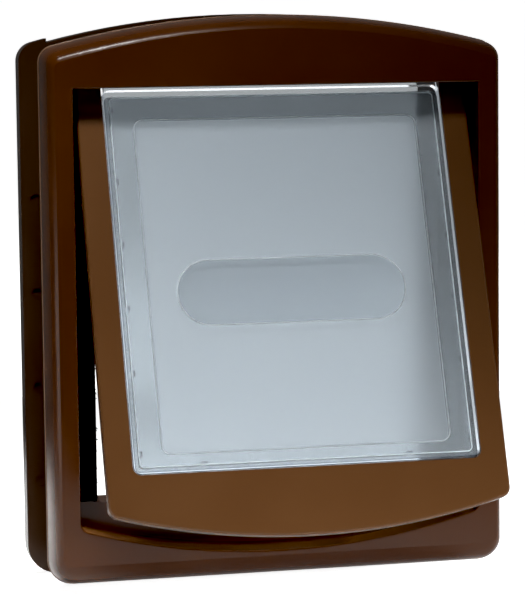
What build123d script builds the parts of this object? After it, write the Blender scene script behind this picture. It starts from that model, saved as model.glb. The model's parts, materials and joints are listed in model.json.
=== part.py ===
"""Two-way cat flap: arched outer and inner frames, a hinged surround and a clear panel that swings inside it.

Millimetres, +X to the right seen from outside, +Y through the door to the inside, +Z up. The pieces are drawn with Z
measured up from the bottom edge of the outer frame and Y from the outer face of the door, then moved so that the
origin is the middle of the fixing screws on that face. The flap is drawn closed and swung out by open_angle.
"""
import os
from math import cos, radians, sin

from build123d import *

# Outer frame
frame_width = 198
frame_height = 238.1
frame_depth = 16.4
arch_rise = 13.2
wall = 2.2
side_rail = 11.6
top_rail = 29.2
bottom_rail = 12.1
side_roll = 4
top_roll = 5.5
bottom_roll = 10
top_corner = 7
bottom_corner = 10.5
face_corner = 3
opening_sag = 13
opening_corner = 5
edge_round = 0.7

# Hinge
hinge_rise = 2.6
hinge_headroom = 1
rod_radius = 1.5
running_clearance = 0.05
press_clearance = 0.01
knuckle_radius = 3
rod_reach = 2.4
knuckle_end_gap = 0.5
cap_radius = 3.4
cap_length = 3.6
open_angle = 20

# Flap surround
surround_side_gap = 2.8
surround_bottom_gap = 3.6
surround_sag = 12
surround_corner = 4.5
surround_thickness = 4.5
surround_round = 1.2
arm_width = 11
band_height = 27.9
core_depth = 2.2
core_border = 3
core_height = 15

# Clear panel
panel_plate = 2.5
panel_wall = 2.7
panel_depth = 6.5
panel_gap = 0.6
panel_corner = 3
panel_top_drop = 4.6
flange_overlap = 1.7
flange_thickness = 1.6
barrel_gap = 0.6
field_side_margin = 12
field_top = 18.3
field_bottom_margin = 7.3
field_corner = 4
field_line = 0.6
field_depth = 0.25
lozenge_width = 97.5
lozenge_height = 27.7
lozenge_drop = 93.2
lozenge_depth = 0.3
rib_length = 2.2
rib_height = 1.4
rib_first = 44.3
rib_pitch = 27.05
rib_count = 4
rib_end_margin = 8.4
bottom_rib_spacing = 87

# Sill lock
bolt_width = 25
bolt_thickness = 3
bolt_drop = 1.9
bolt_engagement = 1.6
bolt_grip = 10
bolt_clearance = 0.4
bolt_round = 2
thumb_width = 16
thumb_depth = 5.5
thumb_thickness = 2.5
thumb_gap = 0.5
guide_wall = 2
guide_height = 17
keeper_thickness = 2.5
keeper_side = 4
keeper_back = 2
keeper_clearance = 0.6

# Stop wall and tunnel sleeve of the outer frame
stop_depth = 6.5
stop_thickness = 2.5
tunnel_gap = 0.7
tunnel_headroom = 2.5
tunnel_corner = 3
sleeve_wall = 2
sleeve_length = 16.5

# Inner frame, across the thickness of the door
door_thickness = 35.6
inner_margin = 2.5
inner_crown_rise = 2.3
inner_arch_rise = 14.4
inner_corner = 8.5
inner_depth = 13
inner_roll = 5.5
sleeve_side_gap = 1.5
sleeve_floor_gap = 4
sleeve_overlap = 4.5
rim_width = 12
rim_thickness = 2
rim_corner = 2
socket_radius = 2.5
socket_inset = 6.5
socket_first = 38.6
socket_pitch = 40.6
socket_count = 4
socket_depth = 0.8
relief_depth = 1.7
relief_margin = 9.7

# Magnet, striker and draught strips
magnet_length = 40
magnet_height = 8
magnet_thickness = 2
magnet_rise = 8.3
pocket_clearance = 0.1
striker_thickness = 1.2
striker_gap = 0.8
pad_margin = 2
strip_width = 9
strip_inset = 0.4
strip_gap = 0.5
strip_end_margin = 1

# Fixing screws and their caps
screw_inset = 39
screw_low = 9
screw_drop = 14.7
screw_radius = 2
screw_core_radius = 1.7
screw_head_radius = 3.8
screw_head_height = 2.4
screw_bite = 10
boss_wall = 1.6
seat_thickness = 2
counterbore_depth = 4
head_clearance = 0.4
cap_disc_radius = 4.9
cap_disc_height = 1
cap_stem_length = 1.2

# Heights and widths worked out from the sizes above, from the outer frame inwards
half_frame = frame_width / 2
half_opening = half_frame - side_rail
opening_top = frame_height - top_rail
hinge_height = opening_top + hinge_rise
recess_top = hinge_height + knuckle_radius + hinge_headroom
half_surround = half_opening - surround_side_gap
surround_bottom = bottom_rail + surround_bottom_gap
half_window = half_surround - arm_width
window_bottom = surround_bottom + band_height
half_panel = half_window - panel_gap
panel_bottom = window_bottom + panel_gap
flange_reach = panel_gap + flange_overlap
flange_bottom = panel_bottom - flange_reach
bolt_travel = bolt_drop + keeper_thickness + bolt_engagement
sill_height = flange_bottom - thumb_gap - bolt_travel - thumb_thickness - bolt_clearance
half_tunnel = half_panel + flange_reach + tunnel_gap
tunnel_top = hinge_height + tunnel_headroom
magnet_z = surround_bottom + magnet_rise

# Depths along Y worked out from the sizes above
face_back = wall - frame_depth
stop_back = stop_depth + stop_thickness
sleeve_end = stop_back + sleeve_length
inner_face = door_thickness + inner_depth
flap_front = -knuckle_radius
surround_back = flap_front + surround_thickness
plate_back = flap_front + panel_plate
panel_back = flap_front + panel_depth
bolt_front = stop_back + bolt_clearance
bolt_back = bolt_front + bolt_thickness
screw_seat = inner_face - counterbore_depth
seat_under = screw_seat - seat_thickness

# Places of the screws and the axis of the hinge
screw_x = half_frame - screw_inset
screw_high = frame_height - screw_drop
screw_middle = (screw_low + screw_high) / 2
screw_places = [(x, z) for x in (-screw_x, screw_x) for z in (screw_low, screw_high)]
hinge_axis = Axis((0, 0, hinge_height), (-1, 0, 0))


def prism(sketch, start, end):
    """Extrude a sketch drawn in X and Z from depth start to depth end along Y."""
    return extrude(Plane.XZ.offset(-start) * sketch, amount=start - end)


def block(width, depth, height):
    """Box from three (low, high) pairs along X, Y and Z."""
    spans = (width, depth, height)
    centre = [(low + high) / 2 for low, high in spans]
    return Pos(*centre) * Box(*[high - low for low, high in spans])


def rod_along_x(radius, start, end, y, z):
    """Cylinder along X between two places."""
    return Pos((start + end) / 2, y, z) * Rot(0, 90, 0) * Cylinder(radius, end - start)


def rod_along_y(radius, start, end, x, z):
    """Cylinder along Y between two depths."""
    return Pos(x, (start + end) / 2, z) * Rot(90, 0, 0) * Cylinder(radius, end - start)


def arched_outline(half_width, bottom, crown, rise, upper_radius, lower_radius):
    """Straight-sided outline with an arched top and four rounded corners."""
    shoulder = crown - rise
    sides = Polyline((half_width, shoulder), (half_width, bottom), (-half_width, bottom), (-half_width, shoulder))
    arch = ThreePointArc((-half_width, shoulder), (0, crown), (half_width, shoulder))
    outline = make_face(sides + arch)
    outline = fillet(outline.vertices().group_by(Axis.Y)[-1], upper_radius)
    return fillet(outline.vertices().group_by(Axis.Y)[0], lower_radius)


def bellied_outline(half_width, top, lowest, sag, lower_radius):
    """Straight-sided outline with a flat top and a bottom edge that bellies down in the middle."""
    shoulder = lowest + sag
    sides = Polyline((-half_width, shoulder), (-half_width, top), (half_width, top), (half_width, shoulder))
    belly = ThreePointArc((half_width, shoulder), (0, lowest), (-half_width, shoulder))
    outline = make_face(sides + belly)
    return fillet(outline.vertices().group_by(Axis.Y)[0], lower_radius)


def rounded_rectangle(half_width, low, high, radius):
    """Rectangle in X and Z with rounded corners."""
    return Pos(0, (low + high) / 2) * RectangleRounded(2 * half_width, high - low, radius)


def rounded_plate(half_width, front, back, radius):
    """Rectangle in X and Y whose two rear corners are rounded."""
    plate = Pos(0, (front + back) / 2) * Rectangle(2 * half_width, back - front)
    return fillet(plate.vertices().group_by(Axis.Y)[-1], radius)


def rolled_bezel(inset, face):
    """Loft from the rim at the door to the face, rolled over along quarter ellipses and set in all round by inset.

    The roll is narrow at the sides and wide at the bottom, so each section has its own sides, crown and foot.
    """
    sections = []
    for angle in (0, 30, 60, 90):
        share = 1 - cos(radians(angle))
        upper = (1 - share) * (top_corner - inset) + share * face_corner
        lower = (1 - share) * (bottom_corner - inset) + share * face_corner
        outline = arched_outline(half_frame - inset - share * side_roll, inset + share * bottom_roll,
                                 frame_height - inset - share * top_roll, arch_rise, upper, lower)
        sections.append(Plane.XZ.offset(-face * sin(radians(angle))) * outline)
    return loft(sections)


def inner_outline(inset, lowering, upper, lower):
    """Outline of the inner frame, set in by inset, with its crown lowered as well and its corners rounded."""
    return arched_outline(half_frame + inner_margin - inset, inset - inner_margin,
                          frame_height + inner_crown_rise - inset - lowering, inner_arch_rise, upper, lower)


def filleted_bezel(outline, inset, radius):
    """Solid of the inner frame: straight walls from the door that round over into a face set in by inset."""
    body = prism(outline, door_thickness, inner_face - inset)
    return fillet(body.faces().sort_by(Axis.Y)[-1].edges(), radius)


def sleeve(half_width, low, high, thickness, start, end):
    """Rectangular tube that lines the passage, as its outer solid and its bore."""
    outer = rounded_rectangle(half_width + thickness, low - thickness, high + thickness, tunnel_corner + thickness)
    bore = rounded_rectangle(half_width, low, high, tunnel_corner)
    return prism(outer, start, end), prism(bore, start - stop_thickness, end + wall)


def build_outer_frame():
    """Arched bezel with the recess for the flap, the stop wall behind it and the tunnel sleeve."""
    frame = rolled_bezel(0, -frame_depth) - rolled_bezel(wall, face_back)

    recess = bellied_outline(half_opening, recess_top, bottom_rail, opening_sag, opening_corner)
    frame += prism(offset(recess, wall), face_back, stop_back)
    frame -= prism(recess, face_back, stop_depth)
    mouth = bellied_outline(half_opening, opening_top, bottom_rail, opening_sag, opening_corner)
    frame -= prism(mouth, -frame_depth - wall, face_back)
    mouth_edges = frame.faces().sort_by(Axis.Y)[0].inner_wires().edges()
    frame = fillet(mouth_edges, edge_round)

    tube, bore = sleeve(half_tunnel, sill_height, tunnel_top, sleeve_wall, stop_depth, sleeve_end)
    frame = frame + tube - bore

    pad_half = magnet_length / 2 + pad_margin
    pad_rise = magnet_height / 2 + pad_margin
    pad_front = surround_back + striker_gap + striker_thickness
    frame += block((-pad_half, pad_half), (pad_front, stop_depth), (magnet_z - pad_rise, magnet_z + pad_rise))

    for side in (-1, 1):
        ends = sorted((side * (half_opening - wall), side * (half_opening + 2 * wall)))
        frame -= rod_along_x(rod_radius + running_clearance, *ends, 0, hinge_height)
    for x, z in screw_places:
        frame += rod_along_y(screw_radius + boss_wall, face_back, 0, x, z)
        frame -= rod_along_y(screw_core_radius + running_clearance, -screw_bite - head_clearance, wall, x, z)

    slot_half = bolt_width / 2 + bolt_clearance
    slot_low = sill_height - 2 * sleeve_wall
    frame -= block((-slot_half, slot_half), (stop_back, bolt_back + bolt_clearance), (slot_low, sill_height + wall))
    return frame


def build_inner_frame():
    """Arched bezel for the inside of the door, with the sleeve that slides over the tunnel of the outer frame."""
    lower = bottom_corner + inner_margin
    outline = inner_outline(0, 0, inner_corner, lower)
    hollow = inner_outline(wall, relief_depth, inner_corner - wall, lower - wall)
    frame = filleted_bezel(outline, 0, inner_roll) - filleted_bezel(hollow, wall, inner_roll - wall)
    rim = outline - inner_outline(rim_width, 0, rim_corner, rim_corner)
    frame += prism(rim, door_thickness, door_thickness + rim_thickness)
    half_sleeve = half_tunnel + sleeve_wall + sleeve_side_gap
    sleeve_low = sill_height - sleeve_wall - sleeve_floor_gap
    sleeve_high = tunnel_top + sleeve_wall + sleeve_side_gap
    tube, bore = sleeve(half_sleeve, sleeve_low, sleeve_high, wall, sleeve_end - sleeve_overlap, inner_face)
    frame = frame + tube - bore
    mouth_edges = frame.faces().sort_by(Axis.Y)[-1].inner_wires().edges()
    frame = fillet(mouth_edges, edge_round)

    inside = inner_face - wall
    for side in (-1, 1):
        for step in range(socket_count):
            x = side * (half_frame + inner_margin - socket_inset)
            z = socket_first + step * socket_pitch
            frame -= rod_along_y(socket_radius, door_thickness - wall, door_thickness + socket_depth, x, z)

    bore_radius = screw_head_radius + head_clearance
    for x, z in screw_places:
        frame -= rod_along_y(screw_radius + boss_wall, door_thickness - wall, door_thickness + rim_thickness, x, z)
        frame += rod_along_y(bore_radius + wall / 2, seat_under, inside, x, z)
        frame -= rod_along_y(bore_radius, screw_seat, inner_face + wall, x, z)
        frame -= rod_along_y(screw_radius + running_clearance, door_thickness, screw_seat, x, z)

    relief = outline - offset(outline, -relief_depth)
    relief = relief & Pos(0, frame_height) * Rectangle(frame_width - 2 * relief_margin, 4 * arch_rise)
    frame -= prism(relief, door_thickness, inner_face)
    return frame


def build_surround():
    """Flap surround: two arms that hang from the rod and a deep lower band with a bellied edge."""
    outline = bellied_outline(half_surround, hinge_height, surround_bottom, surround_sag, surround_corner)
    body = prism(outline, flap_front, surround_back)
    body = fillet(body.faces().sort_by(Axis.Y)[0].edges().sort_by(Axis.Z)[:-1], surround_round)
    window = rounded_rectangle(half_window, window_bottom, 2 * hinge_height - window_bottom, panel_corner + panel_gap)
    body -= prism(window, flap_front - wall, surround_back + wall)
    for side in (-1, 1):
        ends = sorted((side * half_window, side * (half_opening - knuckle_end_gap)))
        body += rod_along_x(knuckle_radius, *ends, 0, hinge_height)
        body -= rod_along_x(rod_radius + running_clearance, *ends, 0, hinge_height)

    core_high = window_bottom - flange_overlap - core_border
    core_inner = magnet_length / 2 + 2 * core_border
    core_outer = half_surround - core_border - surround_corner
    core_edge = prism(offset(outline, -core_border), flap_front, surround_back + wall)
    for side in (-1, 1):
        ends = sorted((side * core_inner, side * core_outer))
        pocket = block(ends, (surround_back - core_depth, surround_back + wall), (core_high - core_height, core_high))
        body -= pocket & core_edge

    length = magnet_length / 2 + pocket_clearance
    height = magnet_height / 2 + pocket_clearance
    body -= block((-length, length), (surround_back - magnet_thickness, surround_back + wall),
                  (magnet_z - height, magnet_z + height))
    return body


def build_panel():
    """Clear panel: a plate with side walls, a rear flange behind the surround and a keeper for the lock."""
    top = hinge_height - panel_top_drop
    outer = rounded_rectangle(half_panel, panel_bottom, top, panel_corner)
    inner_low = panel_bottom + panel_wall
    inner = rounded_rectangle(half_panel - panel_wall, inner_low, top - panel_wall, panel_corner / 2)
    body = prism(outer, flap_front, panel_back) - prism(inner, plate_back, panel_back + wall)

    flange = rounded_rectangle(half_panel + flange_reach, flange_bottom, top - knuckle_radius,
                               panel_corner + flange_reach)
    body += prism(flange - inner, panel_back - flange_thickness, panel_back)

    barrel_half = half_panel - barrel_gap
    body += rod_along_x(knuckle_radius, -barrel_half, barrel_half, 0, hinge_height)
    body += block((-barrel_half, barrel_half), (flap_front, plate_back), (top - panel_wall, hinge_height))
    body -= rod_along_x(rod_radius + running_clearance, -half_panel, half_panel, 0, hinge_height)

    stations = [hinge_height - rib_first - step * rib_pitch for step in range(rib_count)]
    stations += [top - rib_end_margin, panel_bottom + rib_end_margin]
    for side in (-1, 1):
        ends = sorted((side * (half_panel - panel_wall - rib_height), side * (half_panel - panel_wall)))
        for z in stations:
            body += block(ends, (plate_back, panel_back), (z - rib_length / 2, z + rib_length / 2))
        x = side * bottom_rib_spacing / 2
        body += block((x - rib_length / 2, x + rib_length / 2), (plate_back, panel_back),
                      (inner_low, inner_low + rib_height))

    field = rounded_rectangle(half_panel - field_side_margin, panel_bottom + field_bottom_margin,
                              hinge_height - field_top, field_corner)
    body -= prism(field - offset(field, -field_line), flap_front - wall, flap_front + field_depth)
    lozenge = Pos(0, hinge_height - lozenge_drop) * SlotOverall(lozenge_width, lozenge_height)
    body -= prism(lozenge, flap_front - wall, flap_front + lozenge_depth)

    slot_front = bolt_front - keeper_clearance
    slot_back = bolt_back + keeper_clearance
    slot_half = bolt_width / 2 + keeper_clearance
    shelf = rounded_plate(slot_half + keeper_side, panel_back - flange_thickness, slot_back + keeper_back, bolt_round)
    shelf -= Pos(0, (slot_front + slot_back) / 2) * Rectangle(2 * slot_half, slot_back - slot_front)
    body += extrude(Pos(0, 0, flange_bottom) * shelf, amount=keeper_thickness)
    return body


def build_magnet():
    """Bar magnet in the back of the lower band."""
    return block((-magnet_length / 2, magnet_length / 2), (surround_back - magnet_thickness, surround_back),
                 (magnet_z - magnet_height / 2, magnet_z + magnet_height / 2))


def build_striker():
    """Steel strip on the pad of the stop wall, just behind the magnet of the closed flap."""
    front = surround_back + striker_gap
    return block((-magnet_length / 2, magnet_length / 2), (front, front + striker_thickness),
                 (magnet_z - magnet_height / 2, magnet_z + magnet_height / 2))


def build_strip(side):
    """Pile draught strip on the stop wall beside the tunnel."""
    ends = sorted((side * (half_tunnel + strip_inset), side * (half_tunnel + strip_inset + strip_width)))
    return block(ends, (surround_back + strip_gap, stop_depth),
                 (sill_height + strip_end_margin, opening_top - strip_end_margin))


def build_rod():
    """Steel rod that carries both leaves of the flap."""
    reach = half_opening + wall + rod_reach
    return rod_along_x(rod_radius, -reach, reach, 0, hinge_height)


def build_rod_cap(side):
    """Push-on cap over one end of the rod, against the outside of the recess wall."""
    start = half_opening + wall
    cap = rod_along_x(cap_radius, start, start + cap_length, 0, hinge_height)
    cap = fillet(cap.edges().sort_by(Axis.X)[-1], cap_radius / 4)
    cap -= rod_along_x(rod_radius + press_clearance, start, start + rod_reach, 0, hinge_height)
    return cap if side > 0 else cap.mirror(Plane.YZ)


def build_lock_bolt():
    """Flat bolt that rises through the sill into the keeper of the panel, with a thumb tab."""
    low = sill_height - bolt_travel - bolt_grip
    outline = rounded_rectangle(bolt_width / 2, low, flange_bottom - bolt_drop, bolt_round)
    tab = rounded_plate(thumb_width / 2, bolt_back - bolt_thickness / 2, bolt_back + thumb_depth, bolt_round)
    tab = extrude(Pos(0, 0, sill_height + bolt_clearance) * tab, amount=thumb_thickness)
    return prism(outline, bolt_front, bolt_back) + tab


def build_lock_guide():
    """Channel behind the stop wall, under the sill, that guides the bolt."""
    inner_half = bolt_width / 2 + bolt_clearance
    outer_half = inner_half + guide_wall
    inner_back = bolt_back + bolt_clearance
    high = sill_height - sleeve_wall
    low = high - guide_height
    channel = block((-outer_half, outer_half), (stop_back, inner_back + guide_wall), (low, high))
    return channel - block((-inner_half, inner_half), (stop_back - wall, inner_back), (low - wall, high + wall))


def build_screws():
    """Four fixing screws from the inside: a core in the boss, a plain shank, a neck in the seat and a head."""
    steps = [
        (screw_core_radius, -screw_bite, 0),
        (screw_radius, 0, seat_under),
        (screw_core_radius, seat_under, screw_seat),
        (screw_head_radius, screw_seat, screw_seat + screw_head_height),
    ]
    screws = []
    for x, z in screw_places:
        screw = rod_along_y(*steps[0], x, z)
        for step in steps[1:]:
            screw += rod_along_y(*step, x, z)
        screws.append(screw)
    return Compound(children=screws)


def build_screw_caps():
    """Four press-in caps that cover the screw heads."""
    stem_radius = screw_head_radius + head_clearance - running_clearance
    caps = []
    for x, z in screw_places:
        disc = rod_along_y(cap_disc_radius, inner_face, inner_face + cap_disc_height, x, z)
        disc = fillet(disc.edges().sort_by(Axis.Y)[-1], cap_disc_height / 2)
        stem = rod_along_y(stem_radius, inner_face - cap_stem_length, inner_face, x, z)
        caps.append(disc + stem)
    return Compound(children=caps)


def write(name, shape, swings=False):
    """Swing a flap piece open, move the piece to the row's origin and write its STEP file."""
    placed = shape.rotate(hinge_axis, open_angle) if swings else shape
    export_step(placed.moved(Location((0, 0, -screw_middle))), f"parts/{name}.step")


os.makedirs("parts", exist_ok=True)
write("outer_frame", build_outer_frame())
write("inner_frame", build_inner_frame())
write("flap_surround", build_surround(), swings=True)
write("flap_panel", build_panel(), swings=True)
write("flap_magnet", build_magnet(), swings=True)
write("striker_plate", build_striker())
write("hinge_rod", build_rod())
write("draught_strip_left", build_strip(-1))
write("draught_strip_right", build_strip(1))
write("rod_cap_left", build_rod_cap(-1))
write("rod_cap_right", build_rod_cap(1))
write("lock_bolt", build_lock_bolt())
write("lock_guide", build_lock_guide())
write("fixing_screws", build_screws())
write("screw_caps", build_screw_caps())
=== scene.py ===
"""Looks of a two-way cat flap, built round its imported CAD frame.

Sizes of pieces are in millimetres, with Z measured up from the bottom edge of the outer frame, Y from the
outer face of the door and +X to the right seen from outside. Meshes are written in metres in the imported
frame. Sizes of the studio are in metres, apart from the camera's target and distance.
"""
import json
import logging
import math
from collections.abc import Callable
from dataclasses import dataclass, field, replace
from enum import Enum
from functools import reduce
from typing import Union

import bpy
import numpy as np
from mathutils import Matrix, Vector


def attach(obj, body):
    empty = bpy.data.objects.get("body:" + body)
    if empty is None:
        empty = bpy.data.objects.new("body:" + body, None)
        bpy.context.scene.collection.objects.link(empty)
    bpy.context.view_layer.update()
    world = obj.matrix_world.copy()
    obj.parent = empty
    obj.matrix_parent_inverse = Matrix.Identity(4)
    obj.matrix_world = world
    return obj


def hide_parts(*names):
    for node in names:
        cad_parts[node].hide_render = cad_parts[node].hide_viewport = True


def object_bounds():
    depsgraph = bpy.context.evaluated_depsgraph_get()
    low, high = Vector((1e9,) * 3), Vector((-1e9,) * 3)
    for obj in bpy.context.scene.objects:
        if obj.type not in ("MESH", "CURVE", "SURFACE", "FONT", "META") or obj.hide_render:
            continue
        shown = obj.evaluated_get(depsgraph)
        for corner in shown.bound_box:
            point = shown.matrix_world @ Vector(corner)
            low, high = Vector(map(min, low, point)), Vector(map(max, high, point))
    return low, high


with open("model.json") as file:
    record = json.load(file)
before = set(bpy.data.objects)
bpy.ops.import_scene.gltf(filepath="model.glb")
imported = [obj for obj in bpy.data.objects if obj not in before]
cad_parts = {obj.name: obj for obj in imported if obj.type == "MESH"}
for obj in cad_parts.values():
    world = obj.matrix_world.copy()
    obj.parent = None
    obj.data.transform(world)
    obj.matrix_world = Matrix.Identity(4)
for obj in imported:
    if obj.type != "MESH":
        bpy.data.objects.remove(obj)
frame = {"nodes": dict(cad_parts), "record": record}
CAD_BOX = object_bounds()

LOG = logging.getLogger("cat_flap")
MM = 0.001
TINY = 1e-12
ORIGIN_RISE = 116.2
HINGE_RISE = 211.5
OPEN_ANGLE = math.radians(20)
ROUND_SHARE = 0.45
LINE_POINTS = 10
MASK_SOFT = 0.15
WHITE = (1.0, 1.0, 1.0, 1.0)
Socket = bpy.types.NodeSocket
Value = Union[Socket, float, tuple]
Span = tuple[float, float]
Fade = tuple[float, float, float, float]
Colour = tuple[float, float, float, float]
Sockets = dict[str | int, Value]


class Body(Enum):
    """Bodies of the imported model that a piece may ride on."""

    FRAME = "frame"
    SURROUND = "surround"
    PANEL = "panel"
    LOCK = "lock"


class Slot(Enum):
    """Material slots of the record."""

    BROWN = "brown_plastic"
    CLEAR = "clear_plastic"
    MAGNET = "magnet"
    STEEL = "steel"
    PILE = "pile"
    BLACK = "black_plastic"


class Side(Enum):
    """Left and right seen from outside, as the sign of X."""

    LEFT = -1
    RIGHT = 1


# Shapes


def to_row(points: np.ndarray) -> np.ndarray:
    """Millimetres above the frame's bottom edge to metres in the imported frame."""
    return (points - np.array([0.0, 0.0, ORIGIN_RISE])) * MM


def circle(count: int) -> np.ndarray:
    """Angles once round a circle, evenly spaced."""
    return np.linspace(0, 2 * np.pi, count, endpoint=False)


def on_flap(across: np.ndarray, drop: np.ndarray, stand: np.ndarray) -> np.ndarray:
    """Points on the open flap.

    A point hangs drop below the hinge and stands out in front of it, both turned about the hinge by the
    open angle.

    Args:
        across: Places along X.
        drop: Distances below the hinge, along the flap.
        stand: Distances in front of the hinge, square to the flap.

    Returns:
        Array of points in millimetres.
    """
    c, s = math.cos(OPEN_ANGLE), math.sin(OPEN_ANGLE)
    across, drop, stand = np.broadcast_arrays(across, drop, stand)
    return np.stack([across, -drop * s - stand * c, HINGE_RISE - drop * c + stand * s], -1)


@dataclass(frozen=True)
class Outline:
    """Closed outline with straight sides, an arched top, a bellied bottom and four rounded corners."""

    half: float
    low: float
    high: float
    rise: float
    sag: float
    upper: float
    lower: float
    per_edge: int = 40
    per_corner: int = 14
    flattest: float = 0.001

    @classmethod
    def plain(cls, half: float, low: float, high: float, corner: float) -> "Outline":
        """Rectangle with four corners alike."""
        return cls(half, low, high, 0, 0, corner, corner)

    def grown(self, amount: float) -> "Outline":
        """The same outline set out all round by an amount."""
        return replace(self, half=self.half + amount, low=self.low - amount, high=self.high + amount,
                       upper=self.upper + amount, lower=self.lower + amount)

    def quarter(self, rise: float, radius: float, level: float) -> tuple[np.ndarray, np.ndarray]:
        """Corner and half an edge, drawn for an arch that rises to a level.

        The arch is a circle through the crown and the corner of the side. The corner's circle touches the
        side and the arch, so its centre lies a radius inside both.

        Args:
            rise: Height of the arch over the half width.
            radius: Radius of the corner.
            level: Height of the crown.

        Returns:
            Points of the corner from the side to the arch, and of the arch on to the crown, as (x, z).
        """
        rise = max(rise, self.flattest)
        big = (self.half ** 2 + rise ** 2) / (2 * rise)
        centre = np.array([self.half - radius, level - big])
        centre[1] += math.sqrt((big - radius) ** 2 - centre[0] ** 2)
        lean = math.asin(centre[0] / (big - radius))
        turn = np.linspace(0.0, math.pi / 2 - lean, self.per_corner, endpoint=False)
        corner = centre + radius * np.stack([np.cos(turn), np.sin(turn)], -1)
        sweep = np.linspace(lean, 0.0, self.per_edge, endpoint=False)
        arch = np.stack([big * np.sin(sweep), level - big + big * np.cos(sweep)], -1)
        return corner, arch

    def ring(self) -> np.ndarray:
        """The outline in its plane: foot, side and top of the right half, then the same mirrored.

        Returns:
            Points as (x, z), anticlockwise from the middle of the bottom.
        """
        top = np.concatenate(self.quarter(self.rise, self.upper, self.high))
        foot = np.concatenate(self.quarter(self.sag, self.lower, -self.low)) * [1, -1]
        side = np.linspace(foot[0], top[0], self.per_edge, endpoint=False)[1:]
        right = np.concatenate([foot[::-1], side, top])
        crowns = np.array([[0.0, self.high], [0.0, self.low]])
        left = right[::-1] * [-1, 1]
        return np.concatenate([right, crowns[:1], left, crowns[1:]])

    def at(self, depth: float) -> np.ndarray:
        """The outline as points in space at one depth."""
        flat = self.ring()
        return np.stack([flat[:, 0], np.full(len(flat), depth), flat[:, 1]], -1)

    def on_flap(self, stand: float) -> np.ndarray:
        """The outline on the flap, with heights read as drops below the hinge, negative downwards."""
        flat = self.ring()
        return on_flap(flat[:, 0], -flat[:, 1], stand)


def rounded_stack(corners: np.ndarray, radius: float, steps: int = 5) -> np.ndarray:
    """Round the corners of an open section that is given ring by ring.

    Each corner between the two ends becomes a parabola. It starts by the radius towards the ring before and
    ends by the radius towards the ring after, and by no more than a set share of the way.

    Args:
        corners: Rings of the section's corners, as (rings, points, 3).
        radius: How far a round reaches from its corner.
        steps: Rings that make a round.

    Returns:
        Rings of the rounded section.
    """
    inner = corners[1:-1]
    ends = []
    for way in (corners[:-2] - inner, corners[2:] - inner):
        reach = np.maximum(np.linalg.norm(way, axis=-1, keepdims=True), TINY)
        ends.append((inner + way * np.minimum(radius / reach, ROUND_SHARE))[:, None])
    t = np.linspace(0, 1, steps)[None, :, None, None]
    curve = (1 - t) ** 2 * ends[0] + 2 * t * (1 - t) * inner[:, None] + t ** 2 * ends[1]
    return np.concatenate([corners[:1], curve.reshape(-1, *corners.shape[1:]), corners[-1:]])


def grid_faces(rows: int, columns: int, wrap_rows: bool = False, wrap_columns: bool = True) -> np.ndarray:
    """Four-sided faces of a grid.

    Args:
        rows: Rings of the grid.
        columns: Points in each ring.
        wrap_rows: Whether the last ring joins the first.
        wrap_columns: Whether each ring closes on itself.

    Returns:
        Point numbers, four to a face.
    """
    k = np.arange(rows * columns).reshape(rows, columns)
    k = np.pad(k, ((0, int(wrap_rows)), (0, int(wrap_columns))), mode="wrap")
    return np.stack([k[:-1, :-1], k[:-1, 1:], k[1:, 1:], k[1:, :-1]], -1).reshape(-1, 4)


def new_object(name: str, points: np.ndarray, faces: list[list[int]],
               material: bpy.types.Material) -> bpy.types.Object:
    """Put a smooth mesh into the scene.

    Args:
        name: Name of the object.
        points: Its points, as (points, 3) in metres.
        faces: Point numbers of each face.
        material: Its finish.

    Returns:
        The new object, at the origin with its place in its mesh.
    """
    mesh = bpy.data.meshes.new(name)
    mesh.from_pydata(points.tolist(), [], faces)
    mesh.shade_smooth()
    mesh.materials.append(material)
    obj = bpy.data.objects.new(name, mesh)
    bpy.context.scene.collection.objects.link(obj)
    return obj


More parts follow.
